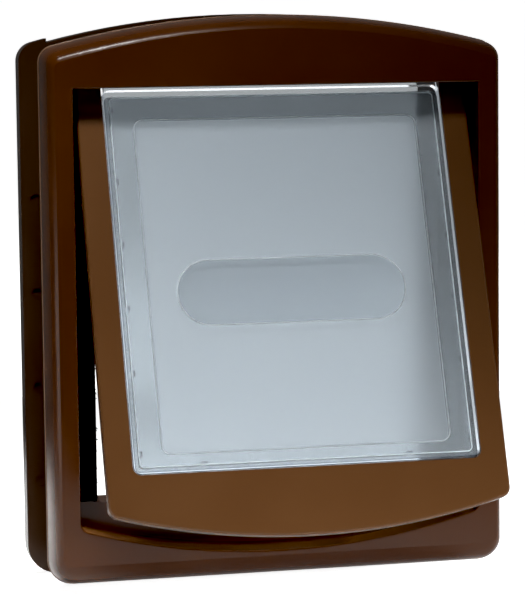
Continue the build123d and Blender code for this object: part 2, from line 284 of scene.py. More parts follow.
@dataclass
class Shell:
    """Closed surface as points in millimetres and faces."""

    points: np.ndarray
    quads: np.ndarray
    tris: np.ndarray = field(default_factory=lambda: np.zeros((0, 3), int))

    @classmethod
    def tube(cls, rings: np.ndarray) -> "Shell":
        """Ring-shaped surface: the last ring joins the first."""
        rows, columns = rings.shape[:2]
        return cls(rings.reshape(-1, 3), grid_faces(rows, columns, wrap_rows=True))

    @classmethod
    def line(cls, outline: Outline, size: float, level: float, lay: Callable[[Outline, float], np.ndarray],
             flatness: float = 1.0) -> "Shell":
        """Fine line: an oval section carried round an outline.

        The section's angle sets how far a ring is set out from the outline and how far it lies off the
        level.

        Args:
            outline: Path of the section's middle.
            size: Half width of the section.
            level: Where the middle of the section is laid.
            lay: Puts an outline into space at a level.
            flatness: Height of the section as a share of its width.

        Returns:
            The closed line.
        """
        turn = circle(LINE_POINTS)
        rings = [lay(outline.grown(size * c), level + flatness * size * s)
                 for c, s in zip(np.cos(turn), np.sin(turn))]
        return cls.tube(np.stack(rings))

    @classmethod
    def capped(cls, rings: np.ndarray) -> "Shell":
        """Surface over a stack of rings, closed at each end by a fan from the middle of the ring.

        Args:
            rings: Rings of points, as (rings, points, 3).

        Returns:
            The closed surface.
        """
        rows, columns = rings.shape[:2]
        points = np.concatenate([rings.reshape(-1, 3), rings[[0, -1]].mean(1)])
        first = np.arange(columns)
        last = first + (rows - 1) * columns
        pole = rows * columns
        head = np.stack([np.full(columns, pole), np.roll(first, -1), first], -1)
        tail = np.stack([np.full(columns, pole + 1), last, np.roll(last, -1)], -1)
        return cls(points, grid_faces(rows, columns), np.concatenate([head, tail]))

    def copied(self, sets: np.ndarray) -> "Shell":
        """The same faces over several sets of points.

        Args:
            sets: Points of each copy, as (sets, points, 3).

        Returns:
            All copies as one surface.
        """
        shift = np.arange(len(sets))[:, None, None] * len(self.points)
        quads, tris = (self.quads + shift).reshape(-1, 4), (self.tris + shift).reshape(-1, 3)
        return Shell(sets.reshape(-1, 3), quads, tris)

    def repeated(self, places: np.ndarray) -> "Shell":
        """Copies of the surface, each moved to a place."""
        return self.copied(self.points[None] + places[:, None])

    def joined(self, other: "Shell") -> "Shell":
        """Both surfaces as one."""
        count = len(self.points)
        return Shell(np.concatenate([self.points, other.points]),
                     np.concatenate([self.quads, other.quads + count]),
                     np.concatenate([self.tris, other.tris + count]))

    def triangles(self) -> np.ndarray:
        """All faces as triangles."""
        return np.concatenate([self.quads[:, [0, 1, 2]], self.quads[:, [0, 2, 3]], self.tris])

    def outward(self) -> "Shell":
        """The surface with its faces turned outwards.

        A closed surface whose faces point outwards holds a positive volume.

        Returns:
            The surface itself, or a copy with every face turned round.
        """
        a, b, c = (self.points[self.triangles()[:, i]] for i in range(3))
        if np.einsum("ij,ij->", a, np.cross(b, c)) >= 0:
            return self
        return Shell(self.points, self.quads[:, ::-1], self.tris[:, ::-1])

    def normals(self) -> np.ndarray:
        """Normal at each point.

        It is the sum of the normals of its faces, each counted by its area, so that flats stay flat.

        Returns:
            Unit vectors, one for each point.
        """
        tri = self.triangles()
        a, b, c = (self.points[tri[:, i]] for i in range(3))
        area = np.cross(b - a, c - a)
        sums = [np.bincount(tri.ravel(), np.repeat(area[:, i], 3), len(self.points)) for i in range(3)]
        total = np.stack(sums, -1)
        return total / np.maximum(np.linalg.norm(total, axis=-1, keepdims=True), TINY)

    def piece(self, name: str, material: bpy.types.Material) -> bpy.types.Object:
        """Put the surface into the scene.

        Args:
            name: Name of the piece.
            material: Its finish.

        Returns:
            The new object.
        """
        shell = self.outward()
        obj = new_object(name, to_row(shell.points), shell.quads.tolist() + shell.tris.tolist(), material)
        obj.data.normals_split_custom_set_from_vertices(shell.normals().tolist())
        return obj


def turned(profile: np.ndarray, segments: int) -> np.ndarray:
    """Rings of a shape turned about the Y axis.

    Args:
        profile: Rows of (radius, depth).
        segments: Points in each ring.

    Returns:
        Rings as (rows, segments, 3).
    """
    angle = circle(segments)
    radius, depth = profile[:, :1], profile[:, 1:]
    return np.stack(np.broadcast_arrays(radius * np.cos(angle), depth, radius * np.sin(angle)), -1)


# Shading


class Graph:
    """Node tree with short calls for adding and joining nodes."""

    def __init__(self, tree: bpy.types.NodeTree) -> None:
        """Start from an empty tree."""
        self.tree = tree
        tree.nodes.clear()

    def add(self, kind: str, inputs: Sockets | None = None, **settings: object) -> bpy.types.Node:
        """Add a node.

        Args:
            kind: Blender's type name, without the ShaderNode prefix.
            inputs: Socket name or number to a constant or to an output socket.
            settings: Properties of the node.

        Returns:
            The new node.
        """
        node = self.tree.nodes.new(kind if kind.startswith("Node") else f"ShaderNode{kind}")
        for key, value in settings.items():
            setattr(node, key, value)
        self.wire(node, inputs or {})
        return node

    def wire(self, node: bpy.types.Node, inputs: Sockets) -> None:
        """Set sockets of a node to constants or link them to outputs.

        Args:
            node: Node that takes the values.
            inputs: Socket name or number to a constant or to an output socket.
        """
        for key, value in inputs.items():
            if isinstance(value, Socket):
                self.tree.links.new(value, node.inputs[key])
            else:
                node.inputs[key].default_value = value

    def place(self) -> Socket:
        """Place on the object."""
        return self.add("TexCoord").outputs["Object"]

    def math(self, operation: str, *values: Value) -> Socket:
        """Output of a Math node."""
        return self.add("Math", dict(enumerate(values)), operation=operation).outputs[0]

    def fold(self, operation: str, values: list[Socket]) -> Socket:
        """All values joined, one after the other, by a Math node's operation."""
        return reduce(lambda first, second: self.math(operation, first, second), values)

    def mix(self, share: Socket, first: Value, second: Value) -> Socket:
        """Colour between two colours."""
        return self.add("Mix", {0: share, 6: first, 7: second}, data_type="RGBA").outputs[2]

    def remap(self, value: Socket, low: float, high: float, to_low: float = 0.0,
              to_high: float = 1.0) -> Socket:
        """Value carried smoothly from one range to another and held at its ends."""
        ends = {"Value": value, "From Min": low, "From Max": high, "To Min": to_low, "To Max": to_high}
        return self.add("MapRange", ends, interpolation_type="SMOOTHSTEP").outputs[0]

    def noise(self, vector: Socket, scale: Value, detail: float) -> Socket:
        """Soft noise between 0 and 1."""
        return self.add("TexNoise", {"Vector": vector, "Scale": scale, "Detail": detail}).outputs[0]


class Effect:
    """Shader node group with named sockets, built once and placed in each material with its own values."""

    def __init__(self, name: str, scale: float, outputs: tuple[str, ...]) -> None:
        """Make the group and its sockets: a Place, a Scale and what it puts out.

        Args:
            name: Name of the group.
            scale: Starting value of the Scale.
            outputs: Names of the value sockets that it puts out.
        """
        self.tree = bpy.data.node_groups.new(name, "ShaderNodeTree")
        self.graph = Graph(self.tree)
        sockets = self.tree.interface
        sockets.new_socket("Place", in_out="INPUT", socket_type="NodeSocketVector")
        sockets.new_socket("Scale", in_out="INPUT", socket_type="NodeSocketFloat").default_value = scale
        for key in outputs:
            sockets.new_socket(key, in_out="OUTPUT", socket_type="NodeSocketFloat")
        self.place, self.scale = self.graph.add("NodeGroupInput").outputs[:2]
        self.exit = self.graph.add("NodeGroupOutput")

    def put(self, **values: Socket) -> None:
        """Send values to the outputs."""
        self.graph.wire(self.exit, values)

    def used(self, graph: Graph, place: Socket, scale: float) -> bpy.types.bpy_prop_collection:
        """Outputs of the group, placed in a material with its own values."""
        return graph.add("Group", {"Place": place, "Scale": scale}, node_tree=self.tree).outputs


def noise_effect(name: str, scale: float, detail: float, mask: str, span: Span) -> Effect:
    """Noise as a height, and as a mask that rises over a span of it.

    Args:
        name: Name of the group.
        scale: Starting scale.
        detail: Detail of the noise.
        mask: Name of the mask.
        span: Noise where the mask starts to rise and where it is full.

    Returns:
        The group.
    """
    effect = Effect(name, scale, (mask, "Height"))
    noise = effect.graph.noise(effect.place, effect.scale, detail)
    effect.put(**{mask: effect.graph.remap(noise, *span), "Height": noise})
    return effect


def handling_effect(turn: float = 0.6, stretch: float = 3.0, span: Span = (0.5, 0.72),
                    fine: float = 160.0) -> Effect:
    """Marks of handling: stretched smudges broken up by a finer noise.

    Args:
        turn: Angle of the smudges about Y.
        stretch: How much narrower they are along Z.
        span: Noise where a smudge starts and where it is full.
        fine: Scale of the finer noise.

    Returns:
        The group.
    """
    effect = Effect("handling_marks", scale=14.0, outputs=("Smudge",))
    graph = effect.graph
    bend = {"Vector": effect.place, "Rotation": (0.0, turn, 0.0), "Scale": (1.0, 1.0, stretch)}
    wide = graph.noise(graph.add("Mapping", bend).outputs[0], effect.scale, detail=4.0)
    thin = graph.noise(effect.place, fine, detail=2.0)
    effect.put(Smudge=graph.math("MULTIPLY", graph.remap(wide, *span), thin))
    return effect


class Effects:
    """The shared effects: clouds of a moulding's flow, fine grain with specks, and marks of handling."""

    def __init__(self) -> None:
        """Build the groups."""
        self.flow = noise_effect("moulding_flow", scale=20.0, detail=2.0, mask="Cloud", span=(0.3, 0.7))
        self.grain = noise_effect("fine_grain", scale=900.0, detail=3.0, mask="Speck", span=(0.6, 0.75))
        self.handling = handling_effect()


def new_material(name: str) -> tuple[bpy.types.Material, Graph, bpy.types.Node]:
    """Make a material with a Principled shader.

    Args:
        name: Name of the material.

    Returns:
        The material, its graph and its shader.
    """
    material = bpy.data.materials.new(name)
    material.use_nodes = True
    graph = Graph(material.node_tree)
    shader = graph.add("BsdfPrincipled")
    graph.add("OutputMaterial", {"Surface": shader.outputs[0]})
    return material, graph, shader


def flap_place(graph: Graph, drop: float) -> tuple[Socket, Socket]:
    """Place on the flap, in metres.

    Args:
        graph: Material's graph.
        drop: Where the height is nought, below the hinge.

    Returns:
        Place across the flap and up along it.
    """
    hinge = (HINGE_RISE - ORIGIN_RISE) * MM
    shift = (0.0, math.sin(OPEN_ANGLE) * hinge, drop * MM - math.cos(OPEN_ANGLE) * hinge)
    turn = {"Vector": graph.place(), "Location": shift, "Rotation": (OPEN_ANGLE, 0.0, 0.0)}
    parts = graph.add("SeparateXYZ", {0: graph.add("Mapping", turn).outputs[0]}).outputs
    return parts[0], parts[2]


def flap_mask(graph: Graph, drop: float, half: float, tall: float, radius: float) -> Socket:
    """One inside a rounded rectangle.

    A point is inside when it lies within a radius of the rectangle's core.

    Args:
        graph: Material's graph.
        drop: Middle of the rectangle, as a drop below the hinge.
        half: Half width.
        tall: Half height.
        radius: Radius of the corners.

    Returns:
        The mask, soft over a third of a millimetre.
    """
    sides = []
    for way, reach in zip(flap_place(graph, drop), (half - radius, tall - radius)):
        beyond = graph.math("SUBTRACT", graph.math("ABSOLUTE", way), reach * MM)
        sides.append(graph.math("POWER", graph.math("MAXIMUM", beyond, 0.0), 2.0))
    away = graph.math("SQRT", graph.math("ADD", *sides))
    return graph.remap(away, (radius + MASK_SOFT) * MM, (radius - MASK_SOFT) * MM)


@dataclass(frozen=True)
class PanelLayout:
    """Places of the frosted field and the bare lozenge on the panel, with drops below the hinge."""

    field_half: float = 61.0
    field_top: float = 18.3
    field_bottom: float = 160.0
    field_corner: float = 4.0
    lozenge_half: float = 48.75
    lozenge_drop: float = 93.2
    lozenge_radius: float = 13.85


@dataclass(frozen=True)
class SillPaintedLight:
    """Painted light on the lip of the sill behind the face of the lower rail: a paler brown that fades to
    the back.
    """

    colour: Colour
    half: float = 85.5
    front: float = -16.3
    back: float = 2.0
    low: float = 10.6
    high: float = 28.0
    front_fade: float = 0.7
    back_fade: float = 8.0
    edge_fade: float = 1.0

    def mask(self, graph: Graph, place: Socket) -> Socket:
        """One where light is painted on the lip: the product of a ramp at each of its ends.

        Args:
            graph: Material's graph.
            place: Place on the object.

        Returns:
            The mask.
        """
        across, depth, height = graph.add("SeparateXYZ", {0: place}).outputs
        low, high = self.low - ORIGIN_RISE, self.high - ORIGIN_RISE
        ramps = ((depth, self.front, self.front_fade), (depth, self.back, -self.back_fade),
                 (graph.math("ABSOLUTE", across), self.half, -self.edge_fade),
                 (height, low, self.edge_fade), (height, high, -self.edge_fade))
        masks = [graph.remap(way, end * MM, (end + fade) * MM) for way, end, fade in ramps]
        return graph.fold("MULTIPLY", masks)


@dataclass(frozen=True)
class Relief:
    """Fine grain of a finish: its scale, the depth of its full range in millimetres and its strength."""

    scale: float
    depth: float
    strength: float

    def normal(self, graph: Graph, height: Socket) -> Socket:
        """Normal from a height."""
        inputs = {"Height": height, "Strength": self.strength, "Distance": self.depth * MM}
        return graph.add("Bump", inputs).outputs[0]


@dataclass(frozen=True)
class Finish:
    """Finish of a piece, told by what its Principled shader takes."""

    name: str

    def sockets(self, graph: Graph, effects: Effects) -> Sockets:
        """Values for the shader's sockets, which each finish gives in its own way."""
        raise NotImplementedError

    def material(self, effects: Effects) -> bpy.types.Material:
        """Build the material.

        Args:
            effects: The shared effects.

        Returns:
            The new material.
        """
        material, graph, shader = new_material(self.name)
        graph.wire(shader, self.sockets(graph, effects))
        return material


@dataclass(frozen=True)
class GlossBrown(Finish):
    """Polished brown moulding with faint flow clouds, smudges and a trace of waviness."""

    base: Colour
    deep: Colour
    roughness: float = 0.22
    smudged: float = 0.25
    lip: SillPaintedLight | None = None
    specular: float = 0.4
    flow_scale: float = 17.0
    smudge_scale: float = 16.0
    smudge_full: float = 0.8
    wave: float = 6.0
    relief: Relief = Relief(1400.0, 0.006, 0.5)

    def sockets(self, graph: Graph, effects: Effects) -> Sockets:
        """Brown with clouds, rougher where it is smudged, and painted light on the lip of the sill where it
        has one.

        Args:
            graph: Material's graph.
            effects: The shared effects.

        Returns:
            Values for the shader's sockets.
        """
        place = graph.place()
        flow = effects.flow.used(graph, place, self.flow_scale)
        grain = effects.grain.used(graph, place, self.relief.scale)
        smudge = effects.handling.used(graph, place, self.smudge_scale)["Smudge"]
        colour = graph.mix(flow["Cloud"], self.deep, self.base)
        # the paler brown on the sill's lip is painted light, standing in for light under the flap
        if self.lip:
            colour = graph.mix(self.lip.mask(graph, place), colour, self.lip.colour)
        height = graph.math("MULTIPLY_ADD", flow["Height"], self.wave, grain["Height"])
        return {
            "Base Color": colour,
            "Roughness": graph.remap(smudge, 0.0, self.smudge_full, self.roughness, self.smudged),
            "Specular IOR Level": self.specular,
            "Normal": self.relief.normal(graph, height),
        }


@dataclass(frozen=True)
class ClearMoulding(Finish):
    """Clear moulding with a fine grain and a faint blue tint, denser where its rim is seen edge on."""

    name: str = "clear_moulding"
    tint: Colour = (0.86, 0.91, 0.94, 1.0)
    rim: Colour = (0.44, 0.50, 0.57, 1.0)
    roughness: float = 0.05
    hazed: float = 0.14
    transmission: float = 0.93
    refraction: float = 1.49
    half: float = 72.3
    top: float = 2.0
    bottom: float = 166.5
    corner: float = 2.0
    relief: Relief = Relief(700.0, 0.05, 0.25)

    def sockets(self, graph: Graph, effects: Effects) -> Sockets:
        """Tint inside and the rim's colour outside, with hazy specks.

        Args:
            graph: Material's graph.
            effects: The shared effects.

        Returns:
            Values for the shader's sockets.
        """
        grain = effects.grain.used(graph, graph.place(), self.relief.scale)
        tall = (self.bottom - self.top) / 2
        inside = flap_mask(graph, self.top + tall, self.half, tall, self.corner)
        return {
            "Base Color": graph.mix(inside, self.rim, self.tint),
            "Roughness": graph.remap(grain["Speck"], 0.0, 1.0, self.roughness, self.hazed),
            "Transmission Weight": self.transmission,
            "IOR": self.refraction,
            "Normal": self.relief.normal(graph, grain["Height"]),
        }


@dataclass(frozen=True)
class FrostedSheet(Finish):
    """Frosted back of the clear panel: whiter inside its field, smoother and darker inside its lozenge."""

    name: str = "frosted_sheet"
    layout: PanelLayout = PanelLayout()
    border: Colour = (0.42, 0.462, 0.495, 1.0)
    frost: Colour = (0.45, 0.487, 0.52, 1.0)
    lozenge: Colour = (0.315, 0.352, 0.385, 1.0)
    transmission: float = 0.8
    refraction: float = 1.2
    roughness: float = 0.5
    smooth: float = 0.3
    bordering: float = 0.22
    relief: Relief = Relief(1600.0, 0.02, 0.3)

    def sockets(self, graph: Graph, effects: Effects) -> Sockets:
        """Frost in the field, and the border's and the lozenge's own colour and roughness.

        Args:
            graph: Material's graph.
            effects: The shared effects.

        Returns:
            Values for the shader's sockets.
        """
        grain = effects.grain.used(graph, graph.place(), self.relief.scale)
        lay = self.layout
        tall = (lay.field_bottom - lay.field_top) / 2
        inside = flap_mask(graph, lay.field_top + tall, lay.field_half, tall, lay.field_corner)
        bare = flap_mask(graph, lay.lozenge_drop, lay.lozenge_half, lay.lozenge_radius, lay.lozenge_radius)
        rough = graph.remap(inside, 0.0, 1.0, self.bordering, self.roughness)
        smoother = graph.remap(bare, 0.0, 1.0, 0.0, self.roughness - self.smooth)
        return {
            "Base Color": graph.mix(bare, graph.mix(inside, self.border, self.frost), self.lozenge),
            "Roughness": graph.math("SUBTRACT", rough, smoother),
            "Transmission Weight": self.transmission,
            "IOR": self.refraction,
            "Normal": self.relief.normal(graph, grain["Height"]),
        }


@dataclass(frozen=True)
class ZincSteel(Finish):
    """Zinc-plated steel, drawn along X, with a cloudy plating."""

    name: str = "zinc_steel"
    bright: Colour = (0.66, 0.66, 0.64, 1.0)
    dull: Colour = (0.47, 0.47, 0.46, 1.0)
    drawn: tuple[float, float, float] = (0.05, 1.0, 1.0)
    roughness: Fade = (0.3, 0.7, 0.26, 0.42)
    flow_scale: float = 120.0
    relief: Relief = Relief(2200.0, 0.01, 0.3)

    def sockets(self, graph: Graph, effects: Effects) -> Sockets:
        """Clouds in the colour, and drawn grain in the roughness.

        Args:
            graph: Material's graph.
            effects: The shared effects.

        Returns:
            Values for the shader's sockets.
        """
        place = graph.place()
        cloud = effects.flow.used(graph, place, self.flow_scale)["Cloud"]
        drawn = graph.add("Mapping", {"Vector": place, "Scale": self.drawn}).outputs[0]
        grain = effects.grain.used(graph, drawn, self.relief.scale)["Height"]
        return {
            "Base Color": graph.mix(cloud, self.dull, self.bright),
            "Roughness": graph.remap(grain, *self.roughness),
            "Metallic": 1.0,
            "Normal": self.relief.normal(graph, grain),
        }


@dataclass(frozen=True)
class GrainedSolid(Finish):
    """Dull finish with grain, specks and clouds: sintered magnet, matt plastic and woven pile."""

    base: Colour
    speck: Colour
    roughness: float
    relief: Relief
    specular: float = 0.5
    flow_scale: float = 60.0
    clouded: float = 0.06

    def sockets(self, graph: Graph, effects: Effects) -> Sockets:
        """Specks in the colour, and clouds in the roughness.

        Args:
            graph: Material's graph.
            effects: The shared effects.

        Returns:
            Values for the shader's sockets.
        """
        place = graph.place()
        grain = effects.grain.used(graph, place, self.relief.scale)
        cloud = effects.flow.used(graph, place, self.flow_scale)["Cloud"]
        ends = self.roughness - self.clouded, self.roughness + self.clouded
        return {
            "Base Color": graph.mix(grain["Speck"], self.base, self.speck),
            "Roughness": graph.remap(cloud, 0.0, 1.0, *ends),
            "Specular IOR Level": self.specular,
            "Normal": self.relief.normal(graph, grain["Height"]),
        }


class Finishes:
    """All finishes of the cat flap: one for each slot of the record, and those of single pieces."""

    def __init__(self) -> None:
        """Build every finish."""
        effects = Effects()
        brown = GlossBrown("brown_gloss", (0.124, 0.056, 0.022, 1), (0.110, 0.048, 0.018, 1))
        # darker, greyer copy of the brown: painted shade, for the inner frame and also the lock and the
        # caps
        inner = GlossBrown("shaded_copy_brown_gloss", (0.046, 0.025, 0.015, 1), (0.039, 0.020, 0.012, 1))
        # paler brown of the rim bead: a painted highlight of its rounded edge
        edge = GlossBrown("painted_highlight_brown", (0.20, 0.12, 0.075, 1), (0.16, 0.095, 0.06, 1), roughness=0.3,
                          smudged=0.4)
        # the frames' brown, with painted light on the sill's lip
        dark = GlossBrown("dark_brown_gloss", (0.074, 0.0235, 0.0055, 1), (0.062, 0.0185, 0.0042, 1),
                          lip=SillPaintedLight((0.24, 0.10, 0.032, 1)))
        magnet = GrainedSolid("sintered_magnet", (0.05, 0.05, 0.055, 1), (0.13, 0.13, 0.135, 1),
                              roughness=0.55, relief=Relief(2600.0, 0.02, 0.5))
        pile = GrainedSolid("woven_pile", (0.003, 0.003, 0.003, 1), (0.008, 0.0075, 0.007, 1),
                            roughness=0.9, relief=Relief(1800.0, 0.05, 0.5), specular=0.05)
        black = GrainedSolid("matt_black", (0.018, 0.018, 0.018, 1), (0.03, 0.03, 0.03, 1),
                             roughness=0.5, relief=Relief(1500.0, 0.02, 0.5))
        # milky lines: real moulded lines whose whiteness is a painted highlight of their edges
        faint = ClearMoulding("faint_painted_highlight_line", (0.72, 0.77, 0.80, 1), roughness=0.4, hazed=0.5,
                              transmission=0.6)
        white = ClearMoulding("painted_highlight_line", (0.82, 0.88, 0.92, 1), roughness=0.35, hazed=0.45,
                              transmission=0.35)
        self.flap_brown = brown.material(effects)
        self.shaded_inner_brown = inner.material(effects)
        self.rim_highlight_brown = edge.material(effects)
        self.by_slot = {
            Slot.BROWN: dark.material(effects),
            Slot.CLEAR: ClearMoulding().material(effects),
            Slot.MAGNET: magnet.material(effects),
            Slot.STEEL: ZincSteel().material(effects),
            Slot.PILE: pile.material(effects),
            Slot.BLACK: black.material(effects),
        }
        self.frosted = FrostedSheet().material(effects)
        self.faint_painted_highlight_line = faint.material(effects)
        self.painted_highlight_line = white.material(effects)


# Pieces


@dataclass
class Assembly:
    """Part of the cat flap that dresses CAD nodes and adds or replaces pieces."""

    finishes: Finishes

    def dress(self, *nodes: str, finish: bpy.types.Material | None = None) -> None:
        """Give CAD nodes a finish, or else the one of their slot.

        Args:
            nodes: Names of the nodes.
            finish: Material, where it isn't the slot's own.
        """
        slots = {row["node"]: Slot(row["material_slot"]) for row in frame["record"]["subparts"]}
        for name in nodes:
            mesh = frame["nodes"][name].data
            mesh.materials.clear()
            mesh.materials.append(finish or self.finishes.by_slot[slots[name]])
            LOG.info("dressed %s in %s", name, mesh.materials[0].name)

    def add(self, name: str, shell: Shell, body: Body, slot: Slot, instead_of: str | None = None,
            finish: bpy.types.Material | None = None) -> None:
        """Put a new piece on a body.

        Args:
            name: Name of the piece.
            shell: Its closed surface.
            body: Body that it rides on.
            slot: Record's slot that it takes its finish from.
            instead_of: CAD node that it stands for.
            finish: Material, where it isn't the slot's own.
        """
        piece = shell.piece(name, finish or self.finishes.by_slot[slot])
        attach(piece, body.value)
        if instead_of:
            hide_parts(instead_of)
        LOG.info("built %s with %d points on %s", name, len(shell.points), body.value)


@dataclass
class Frames(Assembly):
    """Outer and inner frame, with a fine bead, paler brown as a painted highlight, along the rim of the
    outer frame at the door.
    """

    half: float = 99.0
    height: float = 238.1
    rise: float = 13.2
    upper: float = 7.0
    lower: float = 10.5
    set_in: float = 0.2
    bead: float = 0.45

    def build(self) -> None:
        """Dress both frames and add the bead."""
        self.dress("outer_frame")
        # the inner frame's darker brown is painted shade
        self.dress("inner_frame", finish=self.finishes.shaded_inner_brown)
        rim = Outline(self.half - self.set_in, self.set_in, self.height - self.set_in, self.rise, 0,
                      self.upper, self.lower)
        bead = Shell.line(rim, self.bead, -self.bead, Outline.at)
        # the bead's paler brown is a painted highlight
        self.add("outer_rim_bead", bead, Body.FRAME, Slot.BROWN, finish=self.finishes.rim_highlight_brown)


@dataclass
class Flap(Assembly):
    """Surround and panel, with the frosting on the back of the panel and its fine moulded lines, milky
    white as painted highlights.
    """

    layout: PanelLayout = PanelLayout()
    half: float = 72.4
    top: float = 7.7
    bottom: float = 166.6
    corner: float = 2.0
    back: float = 0.5
    front: float = 3.0
    film: float = 0.1
    gap: float = 0.04
    film_rings: int = 12
    film_middle: float = 0.02
    wall_half: float = 70.3
    wall_top: float = 8.2
    wall_bottom: float = 164.6
    wall_line: float = 0.25
    field_line: float = 0.2
    lozenge_line: float = 0.3
    lozenge_flat: float = 0.05
    flatness: float = 0.5

    def frosted(self) -> Shell:
        """Frosted film: its outline shrunk in steps to the middle, once in front and once behind.

        Returns:
            The closed film.
        """
        outline = Outline.plain(self.half, -self.bottom, -self.top, self.corner)
        front = self.back - self.gap
        edge = np.stack([outline.on_flap(front), outline.on_flap(front - self.film)])
        share = np.linspace(self.film_middle, 1.0, self.film_rings)[:, None, None]
        middle = edge.mean(1, keepdims=True)
        fronts = middle[0] + (edge[0] - middle[0]) * share
        backs = middle[1] + (edge[1] - middle[1]) * share[::-1]
        return Shell.capped(np.concatenate([fronts, backs]))

    def lines(self) -> None:
        """Add the fine lines round the field, the lozenge and the foot of the panel's wall, painted as
        highlights.
        """
        lay = self.layout
        edge = Outline.plain(lay.field_half, -lay.field_bottom, -lay.field_top, lay.field_corner)
        radius, middle = lay.lozenge_radius, -lay.lozenge_drop
        corner = radius - self.lozenge_flat
        lozenge = Outline.plain(lay.lozenge_half, middle - radius, middle + radius, corner)
        wall = Outline.plain(self.wall_half, -self.wall_bottom, -self.wall_top, self.corner)
        # the lines' milky white is a painted highlight
        faint, white = self.finishes.faint_painted_highlight_line, self.finishes.painted_highlight_line
        rows = (("field_line", edge, self.field_line, self.front, faint),
                ("lozenge_line", lozenge, self.lozenge_line, self.front, white),
                ("wall_line", wall, self.wall_line, self.back + self.wall_line, white))
        for name, outline, size, stand, finish in rows:
            line = Shell.line(outline, size, stand, Outline.on_flap, self.flatness)
            self.add(name, line, Body.PANEL, Slot.CLEAR, finish=finish)

    def build(self) -> None:
        """Dress the flap and add the frosting, which the clear plate in front of it doesn't shade."""
        self.dress("flap_surround", finish=self.finishes.flap_brown)
        self.dress("flap_panel")
        frame["nodes"]["flap_panel"].visible_shadow = False
        self.add("frosted_back", self.frosted(), Body.PANEL, Slot.CLEAR, finish=self.finishes.frosted)
        self.lines()


@dataclass
class Hinge(Assembly):
    """Rod and its push-on caps."""

    def build(self) -> None:
        """Dress the hinge."""
        self.dress("hinge_rod", "rod_cap_left", "rod_cap_right")


@dataclass
class Closer(Assembly):
    """Magnet in the flap and striker on the stop wall, both with eased edges."""

    half: float = 20.0
    low: float = 20.0
    high: float = 28.0
    corner: float = 0.8
    ease: float = 0.35
    middle: float = 0.03
    striker: Span = (2.3, 3.5)
    magnet: Span = (-0.5, 1.5)

    def eased(self, faces: list[np.ndarray]) -> Shell:
        """Slab between two rings, shrunk to the middle of each face and rounded at its edges.

        Args:
            faces: Rings of the front and the back face.

        Returns:
            The closed slab.
        """
        front, back = faces
        middles = [ring.mean(0) + self.middle * (ring - ring.mean(0)) for ring in faces]
        return Shell.capped(rounded_stack(np.stack([middles[0], front, back, middles[1]]), self.ease))

    def build(self) -> None:
        """Build both bars: the magnet is drawn in the closed flap and swung with it."""
        face = Outline.plain(self.half, self.low, self.high, self.corner)
        hung = replace(face, low=self.low - HINGE_RISE, high=self.high - HINGE_RISE)
        striker = self.eased([face.at(y) for y in self.striker])
        magnet = self.eased([hung.on_flap(-y) for y in self.magnet])
        self.add("striker_bar", striker, Body.FRAME, Slot.STEEL, "striker_plate")
        self.add("magnet_bar", magnet, Body.SURROUND, Slot.MAGNET, "flap_magnet")


@dataclass
class DraughtStrips(Assembly):
    """Pile strips on the stop wall: a backing with rows of short tufts."""

    inner: float = 76.4
    outer: float = 85.4
    front: float = 2.0
    back: float = 6.5
    low: float = 33.5
    high: float = 207.9
    backing: float = 1.0
    corner: float = 0.5
    near_margin: float = 0.6
    far_margin: float = 0.4
    pitch: float = 0.9
    jitter: float = 0.12
    lean: float = 0.484
    lengths: Span = (0.86, 0.99)
    stations: tuple[float, ...] = (0.0, 0.5, 0.85, 1.0)
    thick: float = 0.42
    blunt: float = 1.04
    twist: float = 0.4
    sunk: float = 0.1
    seed: int = 7

    def tufts(self, rng: np.random.Generator) -> Shell:
        """Tufts of the right strip: four-sided spikes on a grid, each leaning and as long as its own draw.

        A spike's ring at share t of its length shrinks with the square root of what is left of it and moves
        sideways with the square of t.

        Args:
            rng: Source of the places, leans and lengths.

        Returns:
            All tufts as one surface.
        """
        x = np.arange(self.inner + self.near_margin, self.outer - self.far_margin, self.pitch)
        z = np.arange(self.low + self.near_margin, self.high - self.far_margin, self.pitch)
        root = np.stack(np.meshgrid(x, z), -1).reshape(-1, 2)
        root = root + rng.normal(0, self.jitter, root.shape)
        lean = rng.normal(0, self.lean, root.shape)
        length = (self.back - self.backing - self.front) * rng.uniform(*self.lengths, len(root))
        t = np.array(self.stations)[:, None]
        thick = self.thick * np.sqrt(self.blunt - t)
        angle = circle(4) + self.twist
        middle = root[:, None] + lean[:, None] * t ** 2
        ring_x = middle[..., :1] + thick * np.cos(angle)
        ring_z = middle[..., 1:] + thick * np.sin(angle)
        depth = self.back - self.backing + self.sunk - length[:, None, None] * t
        rings = np.stack(np.broadcast_arrays(ring_x, depth, ring_z), -1)
        ends = rings[:, [0, -1]].mean(2)
        return Shell.capped(rings[0]).copied(np.concatenate([rings.reshape(len(rings), -1, 3), ends], 1))

    def strip(self, side: Side) -> Shell:
        """Backing and tufts of one strip, drawn for the right and mirrored for the left.

        Args:
            side: Side of the flap that it stands on.

        Returns:
            The whole strip.
        """
        rng = np.random.default_rng(self.seed + side.value)
        middle, half = (self.inner + self.outer) / 2, (self.outer - self.inner) / 2
        outline = replace(Outline.plain(half, self.low, self.high, self.corner), per_edge=4, per_corner=4)
        rings = np.stack([outline.at(self.back), outline.at(self.back - self.backing)]) + [middle, 0, 0]
        whole = Shell.capped(rings).joined(self.tufts(rng))
        return replace(whole, points=whole.points * [side.value, 1, 1])

    def build(self) -> None:
        """Build both strips."""
        for side, name in ((Side.LEFT, "draught_strip_left"), (Side.RIGHT, "draught_strip_right")):
            self.add(f"{name}_pile", self.strip(side), Body.FRAME, Slot.PILE, name)


